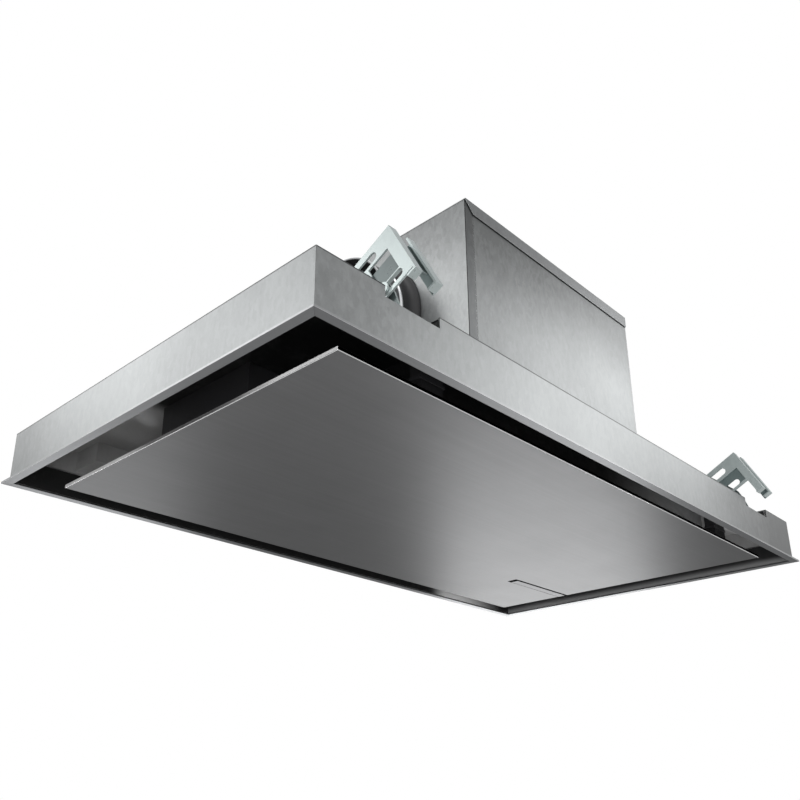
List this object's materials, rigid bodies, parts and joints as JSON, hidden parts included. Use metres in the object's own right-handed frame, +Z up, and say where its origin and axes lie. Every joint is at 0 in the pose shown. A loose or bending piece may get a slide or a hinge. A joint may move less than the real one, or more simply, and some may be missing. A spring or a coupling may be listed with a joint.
{
  "type": "ceiling range hood",
  "caption": "Ceiling range hood: shallow steel tray with a hinged suction panel below, sliding ceiling clamps and a square blower box with a round side outlet above.",
  "frame": {"origin": "middle of the hood in the plane of the ceiling flange's underside", "axes": "+X along the long side, away from the duct outlet; +Y along the short side, towards the panel's hinges; +Z up, from the room into the ceiling"},
  "size_m": [0.9, 0.5244, 0.299],
  "materials": {
    "galvanised_sheet": "spangled zinc coat, satin",
    "flange_steel": "fine brushed, satin",
    "panel_steel": "fine brushed dark steel, satin",
    "zinc_plate": "bright zinc plate",
    "black_paint": "matte",
    "black_plastic": "matte",
    "filter_mesh": "expanded mesh, satin",
    "circuit_board": "satin",
    "rubber_seal": "matte",
    "motor_casing": "cast, satin",
    "plated_steel": "bright plate"
  },
  "bodies": {
    "hood_body": {"flange_front": "flange_steel", "flange_rear": "flange_steel", "flange_left": "flange_steel", "flange_right": "flange_steel", "tray_wall_front": "galvanised_sheet", "tray_wall_rear": "galvanised_sheet", "tray_wall_left": "galvanised_sheet", "tray_wall_right": "galvanised_sheet", "tray_roof": "galvanised_sheet", "blower_box_left": "galvanised_sheet", "blower_box_right": "galvanised_sheet", "blower_box_front": "galvanised_sheet", "blower_box_rear": "galvanised_sheet", "blower_box_lid": "galvanised_sheet", "outlet_spigot": "plated_steel", "outlet_collar": "black_paint", "flap_axle": "plated_steel", "inlet_ring": "black_plastic", "scroll_floor": "galvanised_sheet", "scroll_wall": "galvanised_sheet", "scroll_cover": "galvanised_sheet", "blower_motor": "motor_casing", "filter_frame": "black_paint", "grease_filter_left": "filter_mesh", "grease_filter_right": "filter_mesh", "control_box": "black_plastic", "control_board": "circuit_board", "mains_box": "black_plastic", "terminal_block": "black_plastic", "cable_gland": "rubber_seal", "hinge_bracket_left": "black_paint", "hinge_bracket_right": "black_paint", "hinge_pin_left": "plated_steel", "hinge_pin_right": "plated_steel", "magnet_catch_left": "black_plastic", "magnet_catch_right": "black_plastic", "clamp_base_front_left": "zinc_plate", "clamp_base_front_right": "zinc_plate", "clamp_base_rear_left": "zinc_plate", "clamp_base_rear_right": "zinc_plate"},
    "panel": {"suction_panel": "panel_steel", "trim_strip": "plated_steel", "panel_stiffener": "black_plastic", "panel_hinge_arm_left": "black_paint", "panel_hinge_arm_right": "black_paint", "catch_plate_left": "black_paint", "catch_plate_right": "black_paint"},
    "wheel": {"blower_wheel": "black_plastic", "motor_shaft": "plated_steel"},
    "front_flap": {"flap_front": "black_plastic"},
    "rear_flap": {"flap_rear": "black_plastic"},
    "left_latch": {"filter_latch_left": "black_plastic"},
    "right_latch": {"filter_latch_right": "black_plastic"},
    "front_left_clamp": {"clamp_arm_front_left": "zinc_plate"},
    "front_right_clamp": {"clamp_arm_front_right": "zinc_plate"},
    "rear_left_clamp": {"clamp_arm_rear_left": "zinc_plate"},
    "rear_right_clamp": {"clamp_arm_rear_right": "zinc_plate"}
  },
  "joints": [
    {"name": "panel_swing", "type": "hinge", "parent": "hood_body", "child": "panel", "pos_m": [0, 0.205, 0.014], "axis": [1, 0, 0], "range_deg": [0, 88]},
    {"name": "wheel_spin", "type": "hinge", "parent": "hood_body", "child": "wheel", "pos_m": [0.02, 0.046, 0.172], "axis": [0, 0, 1], "continuous": true},
    {"name": "front_flap_swing", "type": "hinge", "parent": "hood_body", "child": "front_flap", "pos_m": [-0.176, -0.02, 0.187], "axis": [0, 0, -1], "range_deg": [0, 75], "stiffness_Nm_per_rad": 0.02, "springref_deg": -17.19},
    {"name": "rear_flap_swing", "type": "hinge", "parent": "hood_body", "child": "rear_flap", "pos_m": [-0.176, -0.02, 0.187], "axis": [0, 0, 1], "range_deg": [0, 75], "stiffness_Nm_per_rad": 0.02, "springref_deg": -17.19},
    {"name": "left_latch_slide", "type": "slide", "parent": "hood_body", "child": "left_latch", "axis": [0, 1, 0], "range_m": [0, 0.008], "stiffness_N_per_m": 300, "springref_m": -0.004},
    {"name": "right_latch_slide", "type": "slide", "parent": "hood_body", "child": "right_latch", "axis": [0, 1, 0], "range_m": [0, 0.008], "stiffness_N_per_m": 300, "springref_m": -0.004},
    {"name": "front_left_clamp_slide", "type": "slide", "parent": "hood_body", "child": "front_left_clamp", "axis": [0, 0.8829, -0.4695], "range_m": [0, 0.018], "stiffness_N_per_m": 500, "springref_m": -0.02},
    {"name": "front_right_clamp_slide", "type": "slide", "parent": "hood_body", "child": "front_right_clamp", "axis": [0, 0.8829, -0.4695], "range_m": [0, 0.018], "stiffness_N_per_m": 500, "springref_m": -0.02},
    {"name": "rear_left_clamp_slide", "type": "slide", "parent": "hood_body", "child": "rear_left_clamp", "axis": [0, -0.8829, -0.4695], "range_m": [0, 0.018], "stiffness_N_per_m": 500, "springref_m": -0.02},
    {"name": "rear_right_clamp_slide", "type": "slide", "parent": "hood_body", "child": "rear_right_clamp", "axis": [0, -0.8829, -0.4695], "range_m": [0, 0.018], "stiffness_N_per_m": 500, "springref_m": -0.02}
  ]
}
